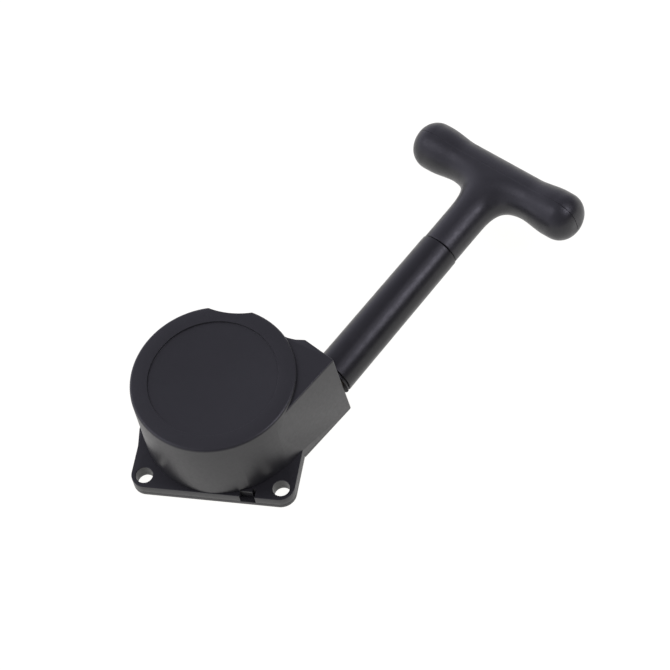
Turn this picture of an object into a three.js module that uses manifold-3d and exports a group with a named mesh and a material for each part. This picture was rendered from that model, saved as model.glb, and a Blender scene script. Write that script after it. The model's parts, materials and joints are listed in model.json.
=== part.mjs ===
// Recoil starter for a small engine, in millimetres.
// The origin is on the pulley's axis, in the mounting face; +Z points from the engine to the cap.
import * as THREE from 'three';
import { mergeVertices } from 'three/addons/utils/BufferGeometryUtils.js';
import Module from 'manifold-3d';

const wasm = await Module();
wasm.setup();

// Flange and its cover plate
const flangeHalf = 16.3;
const flangeCorner = 3.0;
const flangeTop = 3.0;
const holePitch = 27.3;
const holeRadius = 1.7;
const plateThickness = 0.95;
const plateSeat = 1.0;
const plateOpening = 8.6;
const lugReach = 16.95;

// Snap hooks on the cover plate, and the notches they stand in
const hookLeft = 5.85;
const hookRight = 8.2;
const hookSetBack = 1.15;
const hookThickness = 0.7;
const hookNib = 0.3;
const hookTop = 3.1;
const notchLeft = 5.8;
const notchRight = 8.85;
const notchDepth = 1.9;
const notchTop = 3.5;

// Round case
const caseFoot = 16.19;
const caseTop = 16.17;
const caseHeight = 19.3;
const capEdge = 0.42;
const recessRadius = 12.75;
const recessDepth = 0.36;
const pulleyRoom = 14.2;
const springRoom = 13.6;
const ceiling = 17.5;
const springFloor = 9.85;
const scallopRadius = 15.7;
const scallopReach = 15.0;
const postRadius = 2.5;
const postFoot = 10.35;

// Rope arm: corners as [along the arm, across it], at its foot and at its top
const armAzimuth = THREE.MathUtils.degToRad(60.5);
const armTop = 18.4;
const armFootOutline = [[-4.5, 15.5], [-0.5, 16.45], [17.6, 16.65], [17.9, 8.1], [15.3, 3.4], [10, 3]];
const armTopOutline = [[-4.5, 15.2], [-0.5, 16.05], [16.9, 16.05], [17.2, 8.6], [14.9, 3.6], [10, 3]];
const armPocket = [[-2, 12], [1, 14.4], [13.4, 14.5], [13.4, 10.2], [11.8, 8], [6, 8]];
const pocketFloor = 1.2;
const pocketTop = 16.4;
const pocketWall = 15.0;

// Rope line: it leaves the winding at a tangent and runs straight to the grip
const ropeAcross = 12.6;
const outletAlong = 17.33;
const outletHeight = 7.0;
const ropeRise = THREE.MathUtils.degToRad(4.2);
const ropeRadius = 1.0;
const ropeStart = -9.6;
const bushBore = 1.4;
const bushBody = 2.4;
const bushFlange = 3.1;
const bushLength = 3.7;

// Pulley
const pulleyFlange = 13.85;
const pulleyFoot = 1.9;
const pulleyTop = 9.5;
const grooveFoot = 3.2;
const grooveTop = 8.25;
const grooveRoot = 8.2;
const windingRadius = 13.65;
const arborRadius = 6.4;
const arborTop = 17.2;
const pivotBore = 2.65;
const clutchPocket = 5.05;
const slotWidth = 1.0;

// Recoil spring
const springTurns = 7;
const springStrip = 0.35;
const springBottom = 10.35;
const springTop = 16.9;
const springInner = 6.95;
const springOuter = 13.1;
const springAnchor = THREE.MathUtils.degToRad(200);

// One-way clutch
const clutchFoot = 2.0;
const clutchTop = 8.5;
const clutchOuter = 4.95;
const clutchLip = 3.65;
const rampLow = 4.6;
const rampHigh = 4.8;
const rollerCount = 6;
const rollerRadius = 0.75;
const rollerOrbit = 3.8;
const cageInner = 3.12;
const cageOuter = 4.35;

// Handle, measured along the rope line from the outlet face
const tubeStart = 0.35;
const tubeEnd = 34.8;
const tubeFootRadius = 4.24;
const tubeEndRadius = 4.04;
const tubeBore = 1.7;
const spigotRadius = 2.9;
const spigotEnd = 40.8;
const gripStart = 35.0;
const gripStem = 3.88;
const gripSocket = 3.05;
const socketEnd = 47.0;
const barCentre = 53.7;
const barRadius = 4.28;
const bulbRadius = 4.92;
const barHalfLength = 20.15;
const barEndEdge = 3.9;
const gripFillet = 5.2;
const barTilt = THREE.MathUtils.degToRad(5);
const washerPlace = 41.0;
const knotPlace = 43.9;

const finish = (color, roughness, metalness) => new THREE.MeshStandardMaterial({ color, roughness, metalness });
const casePlastic = finish(0x1b1c1f, 0.55, 0);
const gripRubber = finish(0x141416, 0.6, 0);
const pulleyPlastic = finish(0xd8d6cf, 0.5, 0);
const cagePlastic = finish(0x2e5f3c, 0.5, 0);
const steel = finish(0xb9bcc0, 0.3, 1);
const springSteel = finish(0x6f7c8c, 0.35, 1);
const brass = finish(0xc7a55a, 0.35, 1);
const cord = finish(0xe9e6dc, 0.85, 0);

// Solids from closed geometries, and back again
function solid(geometry) {
  const bare = geometry.clone();
  bare.deleteAttribute('normal');
  bare.deleteAttribute('uv');
  const merged = mergeVertices(bare, 1e-4);
  const vertProperties = new Float32Array(merged.attributes.position.array);
  const triVerts = new Uint32Array(merged.index.array);
  return new wasm.Manifold(new wasm.Mesh({ numProp: 3, vertProperties, triVerts }));
}

function geometryOf(body) {
  const mesh = body.getMesh();
  const geometry = new THREE.BufferGeometry();
  geometry.setAttribute('position', new THREE.BufferAttribute(new Float32Array(mesh.vertProperties), 3));
  geometry.setIndex(new THREE.BufferAttribute(new Uint32Array(mesh.triVerts), 1));
  geometry.computeVertexNormals();
  return geometry;
}

// A solid of revolution about Z from [radius, height] points
function turned(profile, segments = 48) {
  const points = profile.map(([r, z]) => new THREE.Vector2(r, z));
  return new THREE.LatheGeometry(points, segments).rotateX(Math.PI / 2);
}

function cylinder(radius, low, high, segments = 48) {
  return turned([[0, low], [radius, low], [radius, high], [0, high]], segments);
}

function ring(inner, outer, low, high, segments = 48) {
  return turned([[inner, low], [outer, low], [outer, high], [inner, high], [inner, low]], segments);
}

function box(x0, x1, y0, y1, z0, z1) {
  const size = new THREE.BoxGeometry(x1 - x0, y1 - y0, z1 - z0);
  return size.translate((x0 + x1) / 2, (y0 + y1) / 2, (z0 + z1) / 2);
}

function plate(shape, low, high, curveSegments = 12) {
  const settings = { depth: high - low, bevelEnabled: false, curveSegments };
  return new THREE.ExtrudeGeometry(shape, settings).translate(0, 0, low);
}

function roundedSquare(half, corner) {
  const shape = new THREE.Shape();
  const flat = half - corner;
  shape.absarc(flat, flat, corner, 0, Math.PI / 2, false);
  shape.absarc(-flat, flat, corner, Math.PI / 2, Math.PI, false);
  shape.absarc(-flat, -flat, corner, Math.PI, 1.5 * Math.PI, false);
  shape.absarc(flat, -flat, corner, 1.5 * Math.PI, 2 * Math.PI, false);
  shape.closePath();
  return shape;
}

// A closed body through rings of points that all have the same count
function loft(rings) {
  const count = rings[0].length;
  const positions = rings.flat().flatMap((p) => [p.x, p.y, p.z]);
  const index = [];
  for (let level = 0; level < rings.length - 1; level += 1) {
    for (let i = 0; i < count; i += 1) {
      const a = level * count + i;
      const b = level * count + ((i + 1) % count);
      index.push(a, b, b + count, a, b + count, a + count);
    }
  }
  const contour = rings[0].map((p) => new THREE.Vector2(p.x, p.y));
  const last = (rings.length - 1) * count;
  for (const [i, j, k] of THREE.ShapeUtils.triangulateShape(contour, [])) {
    index.push(i, k, j, last + i, last + j, last + k);
  }
  const geometry = new THREE.BufferGeometry();
  geometry.setAttribute('position', new THREE.Float32BufferAttribute(positions, 3));
  geometry.setIndex(index);
  return geometry;
}

// Arm coordinates: along the arm and across it, away from the pulley's axis
const along = new THREE.Vector3(Math.cos(armAzimuth), Math.sin(armAzimuth), 0);
const across = new THREE.Vector3(Math.sin(armAzimuth), -Math.cos(armAzimuth), 0);

function armPoint([a, c], z) {
  return along.clone().multiplyScalar(a).addScaledVector(across, c).setZ(z);
}

function armPrism(foot, top, low, high) {
  const lower = foot.map((corner) => armPoint(corner, low));
  const upper = top.map((corner) => armPoint(corner, high));
  return loft([lower, upper]);
}

// Rope-line frame: local Z runs out along the rope, local X lies level across it
const outlet = armPoint([outletAlong, ropeAcross], outletHeight);
const ropeDirection = along.clone().multiplyScalar(Math.cos(ropeRise)).setZ(Math.sin(ropeRise));
const ropeUp = new THREE.Vector3().crossVectors(across, ropeDirection);
const ropeFrame = new THREE.Matrix4()
  .makeBasis(across, ropeUp.negate(), ropeDirection)
  .setPosition(outlet);

function onRopeLine(geometry) {
  return geometry.applyMatrix4(ropeFrame);
}

// Housing: cap, wall, flange and rope arm moulded in one
function caseBody() {
  return solid(turned([
    [0, plateSeat], [caseFoot, plateSeat], [caseFoot, flangeTop], [caseTop, caseHeight - capEdge],
    [caseTop - capEdge * 0.3, caseHeight - capEdge * 0.3], [caseTop - capEdge, caseHeight],
    [recessRadius, caseHeight], [recessRadius - recessDepth, caseHeight - recessDepth],
    [0, caseHeight - recessDepth],
  ], 72));
}

function armBody() {
  const reach = flangeHalf + 0.1;
  const plateSpace = solid(box(-reach, reach, -reach, reach, -1, plateSeat));
  return solid(armPrism(armFootOutline, armTopOutline, 0, armTop)).subtract(plateSpace);
}

function holes(low, high) {
  let all = null;
  for (const x of [-holePitch / 2, holePitch / 2]) {
    for (const y of [-holePitch / 2, holePitch / 2]) {
      const one = solid(cylinder(holeRadius, low, high, 28).translate(x, y, 0));
      all = all ? all.add(one) : one;
    }
  }
  return all;
}

// The front and back edges of the flange carry a hook each
function onHookedEdges(geometry) {
  return solid(geometry).add(solid(geometry.clone().rotateZ(Math.PI)));
}

function hookNotches() {
  const edge = -flangeHalf;
  return onHookedEdges(box(notchLeft, notchRight, edge - 1, edge + notchDepth, plateSeat - 1, notchTop));
}

// Shallow lug on the flange's left edge
function edgeLug() {
  const corners = [[-15, -7.8], [-15, 7.8], [-16.3, 7.4], [-lugReach, 3.6], [-lugReach, -3.6], [-16.3, -7.4]];
  const outline = new THREE.Shape(corners.map(([x, y]) => new THREE.Vector2(x, y)));
  return solid(plate(outline, plateSeat, flangeTop));
}

function innerSpace() {
  const lower = solid(cylinder(pulleyRoom, plateSeat - 1, springFloor, 72));
  const upper = solid(cylinder(springRoom, springFloor - 0.01, ceiling, 72));
  const half = slotWidth / 2;
  const anchor = box(springRoom - 1, springRoom + 1.4, -half, half, springFloor - 0.01, ceiling);
  const post = solid(cylinder(postRadius, postFoot, ceiling + 1, 32));
  return lower.add(upper).add(solid(anchor.rotateZ(springAnchor))).subtract(post);
}

function armSpace() {
  const pocket = solid(armPrism(armPocket, armPocket, pocketFloor, pocketTop));
  const springWall = solid(cylinder(pocketWall, springFloor, ceiling, 72));
  return pocket.subtract(springWall);
}

function outletBore() {
  const gap = 0.1;
  return solid(onRopeLine(turned([
    [0, -bushLength - 1.5], [bushBody - 0.4, -bushLength - 1.5], [bushBody - 0.4, -bushLength - gap],
    [bushBody + gap, -bushLength - gap], [bushBody + gap, -0.85], [bushFlange + gap, -0.85],
    [bushFlange + gap, 2], [0, 2],
  ], 32)));
}

function housing() {
  const flange = solid(plate(roundedSquare(flangeHalf, flangeCorner), plateSeat, flangeTop));
  const scallop = cylinder(scallopRadius, flangeTop, caseHeight + 1, 72);
  const screwHole = cylinder(1.15, postFoot - 1, postFoot + 5.2, 20);
  return caseBody()
    .add(flange)
    .add(edgeLug())
    .add(armBody())
    .subtract(solid(scallop.translate(0.6, scallopReach + scallopRadius, 0)))
    .subtract(innerSpace())
    .subtract(armSpace())
    .subtract(outletBore())
    .subtract(solid(screwHole))
    .subtract(hookNotches())
    .subtract(holes(0, flangeTop + 1));
}

// Cover plate: closes the mounting face and carries the snap hooks
function retainerPlate() {
  const sheet = solid(plate(roundedSquare(flangeHalf, flangeCorner), 0, plateThickness));
  const legOuter = hookSetBack - flangeHalf;
  const legInner = legOuter + hookThickness;
  const leg = box(hookLeft, hookRight, legOuter, legInner, plateThickness - 0.2, hookTop);
  const nib = box(hookLeft, hookRight, legOuter - hookNib, legInner, hookTop - 0.8, hookTop);
  return sheet
    .add(onHookedEdges(leg))
    .add(onHookedEdges(nib))
    .subtract(solid(cylinder(plateOpening, -1, 2, 64)))
    .subtract(holes(-1, 2));
}

// Eyelet in the arm's end face that the rope runs through
function ropeBush() {
  return onRopeLine(turned([
    [bushBore, -bushLength + 0.3], [bushBore + 0.3, -bushLength], [bushBody, -bushLength],
    [bushBody, -0.75], [bushFlange, -0.75], [bushFlange, -0.15], [bushBore + 0.5, -0.15],
    [bushBore, -0.65], [bushBore, -bushLength + 0.3],
  ], 28));
}

// Pan-head screw and washer that hold the pulley on the post
function retainingScrew() {
  const head = solid(turned([[0, 8.7], [1.6, 8.7], [2.2, 9.1], [2.2, 9.75], [1.0, 9.75], [1.0, 14.6],
    [0.5, 15.1], [0, 15.1]], 24));
  const slotA = solid(box(-1.3, 1.3, -0.2, 0.2, 8, 9.3));
  const slotB = solid(box(-0.2, 0.2, -1.3, 1.3, 8, 9.3));
  return head.subtract(slotA).subtract(slotB);
}

function retainingWasher() {
  return ring(1.2, 3.6, 9.8, 10.3, 32);
}

// Thin steel disc that keeps the spring off the pulley
function springPlate() {
  return ring(6.75, 14.0, 9.62, 9.8, 56);
}

// Flat steel strip wound outwards from the arbor to the slot in the case wall
function recoilSpring() {
  const stepsPerTurn = 20;
  const steps = springTurns * stepsPerTurn;
  const centreline = [];
  const start = springAnchor + springTurns * 2 * Math.PI;
  centreline.push([arborRadius - 0.5, start]);
  for (let i = 0; i <= steps; i += 1) {
    const share = i / steps;
    centreline.push([
      THREE.MathUtils.lerp(springInner, springOuter, share),
      start - share * springTurns * 2 * Math.PI,
    ]);
  }
  centreline.push([springRoom + 1.1, springAnchor]);
  const points = centreline.map(([r, angle]) => new THREE.Vector2(r * Math.cos(angle), r * Math.sin(angle)));
  const sides = [[], []];
  points.forEach((point, i) => {
    const before = points[Math.max(i - 1, 0)];
    const after = points[Math.min(i + 1, points.length - 1)];
    const run = after.clone().sub(before).normalize();
    const normal = new THREE.Vector2(-run.y, run.x).multiplyScalar(springStrip / 2);
    sides[0].push(point.clone().add(normal));
    sides[1].push(point.clone().sub(normal));
  });
  const shape = new THREE.Shape([...sides[0], ...sides[1].reverse()]);
  return plate(shape, springBottom, springTop);
}

// Pulley: rope groove below, spring arbor above, clutch pocket in the middle
function pulley() {
  const body = solid(turned([
    [clutchPocket, pulleyFoot], [grooveRoot, pulleyFoot], [pulleyFlange - 0.4, grooveFoot - 1.0],
    [pulleyFlange, grooveFoot - 0.6], [pulleyFlange, grooveFoot - 0.2], [grooveRoot, grooveFoot],
    [grooveRoot, grooveTop], [pulleyFlange, grooveTop + 0.2], [pulleyFlange, pulleyTop],
    [arborRadius, pulleyTop], [arborRadius, arborTop - 0.3], [arborRadius - 0.3, arborTop],
    [pivotBore, arborTop], [pivotBore, postFoot + 0.1], [clutchPocket, postFoot + 0.1],
    [clutchPocket, pulleyFoot],
  ], 56));
  const half = slotWidth / 2;
  const arborSlot = box(arborRadius - 0.9, arborRadius + 1, -half, half, pulleyTop, arborTop + 1);
  return body.subtract(solid(arborSlot.rotateZ(springAnchor)));
}

// The stored rope as one ring: three layers of two turns
function ropeCoil() {
  return turned([
    [grooveRoot + 0.1, grooveFoot + 0.15], [windingRadius - 0.8, grooveFoot + 0.15],
    [windingRadius, grooveFoot + 0.9], [windingRadius, grooveTop - 0.8],
    [windingRadius - 0.8, grooveTop - 0.1], [grooveRoot + 0.1, grooveTop - 0.1],
    [grooveRoot + 0.1, grooveFoot + 0.15],
  ], 48);
}

// Clutch cup: its bore is cut into ramps that jam the rollers one way
function clutchCup() {
  const bore = new THREE.Shape();
  const stepsPerRamp = 8;
  for (let ramp = 0; ramp < rollerCount; ramp += 1) {
    for (let step = 0; step < stepsPerRamp; step += 1) {
      const share = step / (stepsPerRamp - 1);
      const angle = ((ramp + share * 0.96) * 2 * Math.PI) / rollerCount;
      const radius = THREE.MathUtils.lerp(rampLow, rampHigh, share);
      const x = radius * Math.cos(angle);
      const y = radius * Math.sin(angle);
      if (ramp === 0 && step === 0) bore.moveTo(x, y);
      else bore.lineTo(x, y);
    }
  }
  bore.closePath();
  return solid(cylinder(clutchOuter, clutchFoot, clutchTop, 48))
    .subtract(solid(plate(bore, clutchFoot + 0.5, clutchTop - 0.5)))
    .subtract(solid(cylinder(clutchLip, clutchFoot - 1, clutchTop + 1, 40)));
}

function clutchCage() {
  const windowHalf = rollerRadius + 0.32;
  let cage = solid(ring(cageInner, cageOuter, clutchFoot + 0.6, clutchTop - 0.6, 48));
  for (let i = 0; i < rollerCount; i += 1) {
    const opening = box(cageInner - 0.5, cageOuter + 0.5, -windowHalf, windowHalf,
      clutchFoot + 1.05, clutchTop - 1.05);
    cage = cage.subtract(solid(opening.rotateZ(rollerAngle(i))));
  }
  return cage;
}

function rollerAngle(i) {
  return ((i + 0.5) * 2 * Math.PI) / rollerCount;
}

function clutchRoller(i) {
  const roller = cylinder(rollerRadius, clutchFoot + 1.15, clutchTop - 1.15, 14);
  return roller.translate(rollerOrbit, 0, 0).rotateZ(rollerAngle(i));
}

// Leaf that pushes its roller towards the narrow end of the ramp
function clutchLeaf(i) {
  const leaf = box(rollerOrbit - 0.35, rollerOrbit + 0.35, rollerRadius + 0.08, rollerRadius + 0.2,
    clutchFoot + 1.4, clutchTop - 1.4);
  return leaf.rotateZ(rollerAngle(i));
}

// Rope from the winding to its knot in the grip, as it lies at rest
function pullRope() {
  const line = new THREE.LineCurve3(new THREE.Vector3(0, 0, ropeStart), new THREE.Vector3(0, 0, knotPlace - 1.9));
  const section = new THREE.Shape();
  section.absarc(0, 0, ropeRadius, 0, 2 * Math.PI, false);
  const settings = { steps: 24, extrudePath: line, curveSegments: 4, bevelEnabled: false };
  return onRopeLine(new THREE.ExtrudeGeometry(section, settings));
}

function ropeKnot() {
  return onRopeLine(new THREE.SphereGeometry(1.0, 12, 8).scale(2.3, 2.3, 1.7).translate(0, 0, knotPlace));
}

function knotWasher() {
  return onRopeLine(ring(1.15, 2.75, washerPlace, washerPlace + 0.6, 32));
}

// Long guide tube between the outlet and the grip
function handleTube() {
  return onRopeLine(turned([
    [tubeBore + 0.5, tubeStart], [tubeFootRadius - 0.4, tubeStart], [tubeFootRadius, tubeStart + 0.4],
    [tubeEndRadius, tubeEnd], [spigotRadius, tubeEnd], [spigotRadius, spigotEnd - 0.3],
    [spigotRadius - 0.3, spigotEnd], [tubeBore, spigotEnd], [tubeBore, tubeStart + 0.5],
    [tubeBore + 0.5, tubeStart],
  ], 40));
}

// Grip, built with its bar along local X and its stem along local Z
function barProfile() {
  const profile = [];
  const capSteps = 6;
  const edgePlace = barHalfLength - barEndEdge;
  profile.push([0, -barHalfLength]);
  for (let i = 0; i <= capSteps; i += 1) {
    const angle = (i / capSteps) * (Math.PI / 2);
    const radius = bulbRadius - barEndEdge * (1 - Math.sin(angle));
    profile.push([radius, -edgePlace - barEndEdge * Math.cos(angle)]);
  }
  for (const [share, place] of [[0.9, 13.5], [0.5, 11.2], [0.1, 9], [0, 7.5], [0, 3]]) {
    profile.push([THREE.MathUtils.lerp(barRadius, bulbRadius, share), -place]);
  }
  const mirrored = profile.map(([r, z]) => [r, -z]).reverse();
  return [...profile, ...mirrored];
}

function filletRings() {
  const rings = [];
  const steps = 5;
  const corners = 20;
  for (let i = 0; i <= steps; i += 1) {
    const angle = (i / steps) * (Math.PI / 2);
    const place = barCentre - barRadius - gripFillet * (1 - Math.sin(angle));
    const wide = gripStem - 0.05 + gripFillet * (1 - Math.cos(angle));
    const thick = THREE.MathUtils.lerp(gripStem - 0.05, 1.4, i / steps);
    const oval = [];
    for (let k = 0; k < corners; k += 1) {
      const around = (k / corners) * 2 * Math.PI;
      oval.push(new THREE.Vector3(wide * Math.cos(around), thick * Math.sin(around), place));
    }
    rings.push(oval);
  }
  rings.push(rings[steps].map((p) => new THREE.Vector3(p.x, p.y, barCentre - 1)));
  return rings;
}

function tGrip() {
  const bar = solid(turned(barProfile(), 26).rotateY(Math.PI / 2).translate(0, 0, barCentre));
  const stem = solid(turned([
    [0, gripStart], [gripStem - 0.2, gripStart], [gripStem, gripStart + 0.2],
    [gripStem, barCentre], [0, barCentre],
  ], 32));
  const socket = solid(cylinder(gripSocket, gripStart - 1, socketEnd, 28));
  const grip = bar.add(stem).add(solid(loft(filletRings()))).subtract(socket);
  return onRopeLine(geometryOf(grip).rotateZ(-barTilt));
}

const starter = new THREE.Group();

function addPiece(name, shape, material) {
  const geometry = shape.isBufferGeometry ? shape : geometryOf(shape);
  const piece = new THREE.Mesh(geometry, material);
  piece.name = name;
  starter.add(piece);
}

addPiece('housing', housing(), casePlastic);
addPiece('retainer_plate', retainerPlate(), casePlastic);
addPiece('rope_bush', ropeBush(), brass);
addPiece('retaining_screw', retainingScrew(), steel);
addPiece('retaining_washer', retainingWasher(), steel);
addPiece('spring_plate', springPlate(), steel);
addPiece('recoil_spring', recoilSpring(), springSteel);
addPiece('pulley', pulley(), pulleyPlastic);
addPiece('rope_coil', ropeCoil(), cord);
addPiece('clutch_cup', clutchCup(), steel);
addPiece('clutch_cage', clutchCage(), cagePlastic);
for (let i = 0; i < rollerCount; i += 1) {
  addPiece(`clutch_roller_${i + 1}`, clutchRoller(i), steel);
  addPiece(`clutch_leaf_${i + 1}`, clutchLeaf(i), springSteel);
}
addPiece('pull_rope', pullRope(), cord);
addPiece('rope_knot', ropeKnot(), cord);
addPiece('knot_washer', knotWasher(), steel);
addPiece('handle_tube', handleTube(), gripRubber);
addPiece('t_grip', tGrip(), gripRubber);

export default starter;
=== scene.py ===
import json
import math

import bmesh
import bpy
import numpy as np
from mathutils import Matrix, Vector


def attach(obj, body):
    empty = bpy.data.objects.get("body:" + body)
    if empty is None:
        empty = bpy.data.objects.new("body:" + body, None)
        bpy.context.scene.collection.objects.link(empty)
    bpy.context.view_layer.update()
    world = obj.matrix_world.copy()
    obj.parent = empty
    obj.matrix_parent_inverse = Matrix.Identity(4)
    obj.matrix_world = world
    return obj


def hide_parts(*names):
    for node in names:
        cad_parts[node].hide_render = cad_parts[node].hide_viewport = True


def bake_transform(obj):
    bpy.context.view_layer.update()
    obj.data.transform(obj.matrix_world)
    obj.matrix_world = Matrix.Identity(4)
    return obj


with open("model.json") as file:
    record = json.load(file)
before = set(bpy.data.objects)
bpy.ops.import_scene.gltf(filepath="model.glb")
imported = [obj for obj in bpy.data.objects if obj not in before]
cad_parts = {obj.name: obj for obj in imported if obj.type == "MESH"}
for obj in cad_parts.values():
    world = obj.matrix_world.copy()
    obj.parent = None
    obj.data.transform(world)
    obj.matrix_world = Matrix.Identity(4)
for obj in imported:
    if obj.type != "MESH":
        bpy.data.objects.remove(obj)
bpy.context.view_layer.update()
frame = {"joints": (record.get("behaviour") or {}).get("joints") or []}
pi = math.pi
mm = 0.001

# everything is drawn in millimetres and scaled to metres when a piece is finished
pull = next(j for j in frame["joints"] if j["name"] == "handle_pull")
ropeAxis = Vector(pull["axis"]).normalized()
outlet = Vector(pull["pos_m"]) / mm
acrossAxis = Vector((ropeAxis.y, -ropeAxis.x, 0)).normalized()
alongAxis = Vector((-acrossAxis.y, acrossAxis.x, 0))
ropeDown = ropeAxis.cross(acrossAxis)
ropeFrame = Matrix((
    (acrossAxis.x, ropeDown.x, ropeAxis.x, outlet.x),
    (acrossAxis.y, ropeDown.y, ropeAxis.y, outlet.y),
    (acrossAxis.z, ropeDown.z, ropeAxis.z, outlet.z),
    (0, 0, 0, 1)))
armFrame = Matrix((
    (alongAxis.x, acrossAxis.x, 0, 0),
    (alongAxis.y, acrossAxis.y, 0, 0),
    (0, 0, 1, 0),
    (0, 0, 0, 1)))


def meshObject(name, points, faces, edges=()):
    mesh = bpy.data.meshes.new(name)
    mesh.from_pydata([tuple(p) for p in points], list(edges), faces)
    mesh.update()
    thing = bpy.data.objects.new(name, mesh)
    bpy.context.scene.collection.objects.link(thing)
    return thing


def drop(thing):
    bpy.data.objects.remove(thing, do_unlink=True)


def bakeModifiers(thing):
    # turns the evaluated shape into the object's own plain mesh
    graph = bpy.context.evaluated_depsgraph_get()
    fresh = bpy.data.meshes.new_from_object(thing.evaluated_get(graph))
    thing.modifiers.clear()
    thing.data = fresh
    return thing


def pointOutwards(thing):
    work = bmesh.new()
    work.from_mesh(thing.data)
    bmesh.ops.remove_doubles(work, verts=work.verts, dist=1e-5)
    bmesh.ops.recalc_face_normals(work, faces=work.faces)
    work.to_mesh(thing.data)
    work.free()
    return thing


def filletCorners(corners, steps=6, closed=True):
    # corners are (x, y) or (x, y, radius); a radius turns the corner into an arc
    out = []
    count = len(corners)
    for i, corner in enumerate(corners):
        radius = corner[2] if len(corner) > 2 else 0
        here = Vector(corner[:2])
        if radius <= 0 or (not closed and i in (0, count - 1)):
            out.append((here.x, here.y))
            continue
        before = Vector(corners[i - 1][:2]) - here
        after = Vector(corners[(i + 1) % count][:2]) - here
        half = before.angle(after) / 2
        reach = radius / math.tan(half)
        start = here + before.normalized() * reach
        end = here + after.normalized() * reach
        middle = (before.normalized() + after.normalized()).normalized()
        centre = here + middle * (radius / math.sin(half))
        a = math.atan2(*(start - centre).yx)
        b = math.atan2(*(end - centre).yx)
        turn = (b - a + pi) % (2 * pi) - pi
        for k in range(steps + 1):
            angle = a + turn * k / steps
            out.append((centre.x + radius * math.cos(angle), centre.y + radius * math.sin(angle)))
    return out


def turned(name, corners, segments=128, steps=5):
    # revolves a closed (radius, height) outline about Z
    outline = filletCorners(corners, steps)
    points, rings = [], []
    for r, z in outline:
        if r < 1e-6:
            rings.append([len(points)])
            points.append((0, 0, z))
        else:
            rings.append(list(range(len(points), len(points) + segments)))
            points += [(r * math.cos(2 * pi * k / segments), r * math.sin(2 * pi * k / segments), z)
                       for k in range(segments)]
    faces = []
    for a, b in zip(rings, rings[1:] + rings[:1]):
        for k in range(segments):
            n = (k + 1) % segments
            if len(a) > 1 and len(b) > 1:
                faces.append((a[k], a[n], b[n], b[k]))
            elif len(a) > 1:
                faces.append((a[k], a[n], b[0]))
            elif len(b) > 1:
                faces.append((a[0], b[n], b[k]))
    return pointOutwards(meshObject(name, points, faces))


def stacked(name, loops):
    # joins loops of equal length into a closed body with flat ends
    count = len(loops[0])
    points = [p for loop in loops for p in loop]
    faces = []
    for level in range(len(loops) - 1):
        for k in range(count):
            a, b = level * count + k, level * count + (k + 1) % count
            faces.append((a, b, b + count, a + count))
    last = (len(loops) - 1) * count
    faces.append(tuple(range(count))[::-1])
    faces.append(tuple(range(last, last + count)))
    return pointOutwards(meshObject(name, points, faces))


def insetLoop(outline, amount):
    # moves each point of a counter-clockwise outline inwards
    out = []
    count = len(outline)
    for i, here in enumerate(outline):
        run = Vector(outline[(i + 1) % count]) - Vector(outline[i - 1])
        normal = Vector((-run.y, run.x)).normalized()
        out.append((here[0] + normal.x * amount, here[1] + normal.y * amount))
    return out


def slab(name, footOutline, topOutline, low, high, footEdge, topEdge, topDrop=None, steps=4):
    # a prism whose foot and top outlines may differ, with rounded rims
    def at(height):
        share = (height - low) / (high - low)
        return [(a[0] + (b[0] - a[0]) * share, a[1] + (b[1] - a[1]) * share)
                for a, b in zip(footOutline, topOutline)]
    loops = []
    for k in range(steps + 1):
        angle = pi / 2 * k / steps
        z = low + footEdge * (1 - math.cos(angle))
        loops.append([(x, y, z) for x, y in insetLoop(at(z), footEdge * (1 - math.sin(angle)))])
    for k in range(steps + 1):
        angle = pi / 2 * k / steps
        z = high - (topDrop or topEdge) * (1 - math.sin(angle))
        loops.append([(x, y, z) for x, y in insetLoop(at(z), topEdge * (1 - math.cos(angle)))])
    return stacked(name, loops)


def block(x0, x1, y0, y1, z0, z1):
    corners = [(x0, y0), (x1, y0), (x1, y1), (x0, y1)]
    return stacked("block", [[(x, y, z0) for x, y in corners], [(x, y, z1) for x, y in corners]])


def rod(radius, low, high, segments=64):
    return turned("rod", [(0, low), (radius, low), (radius, high), (0, high)], segments)


def place(thing, matrix):
    thing.data.transform(matrix)
    if matrix.determinant() < 0:
        thing.data.flip_normals()
    return thing


def combine(body, tool, operation):
    change = body.modifiers.new("combine", "BOOLEAN")
    change.operation = operation
    change.solver = "EXACT"
    change.object = tool
    bakeModifiers(body)
    drop(tool)
    return body


def cut(body, *tools):
    for tool in tools:
        combine(body, tool, "DIFFERENCE")
    return body


def add(body, *tools):
    for tool in tools:
        combine(body, tool, "UNION")
    return body


def finishPiece(thing, name, body, nodes, material, sharpAngle=32):
    # the piece is in millimetres until here
    thing.name = name
    thing.data.name = name
    pointOutwards(thing)
    thing.data.transform(Matrix.Scale(mm, 4))
    thing.data.materials.clear()
    thing.data.materials.append(material)
    thing.data.polygons.foreach_set("use_smooth", [True] * len(thing.data.polygons))
    thing.data.set_sharp_from_angle(angle=math.radians(sharpAngle))
    if nodes:
        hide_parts(*nodes)
    if body:
        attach(thing, body)
    return thing


def blankMaterial(name):
    material = bpy.data.materials.new(name)
    material.use_nodes = True
    tree = material.node_tree
    tree.nodes.clear()
    output = tree.nodes.new("ShaderNodeOutputMaterial")
    shader = tree.nodes.new("ShaderNodeBsdfPrincipled")
    tree.links.new(shader.outputs["BSDF"], output.inputs["Surface"])
    return material, tree, shader


def noise(tree, scale, detail=3.0, rough=0.55, stretch=None):
    where = tree.nodes.new("ShaderNodeTexCoord")
    source = where.outputs["Object"]
    if stretch:
        mapping = tree.nodes.new("ShaderNodeMapping")
        mapping.inputs["Scale"].default_value = stretch
        tree.links.new(source, mapping.inputs["Vector"])
        source = mapping.outputs["Vector"]
    texture = tree.nodes.new("ShaderNodeTexNoise")
    texture.inputs["Scale"].default_value = scale
    texture.inputs["Detail"].default_value = detail
    texture.inputs["Roughness"].default_value = rough
    tree.links.new(source, texture.inputs["Vector"])
    return texture.outputs["Fac"]


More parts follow.
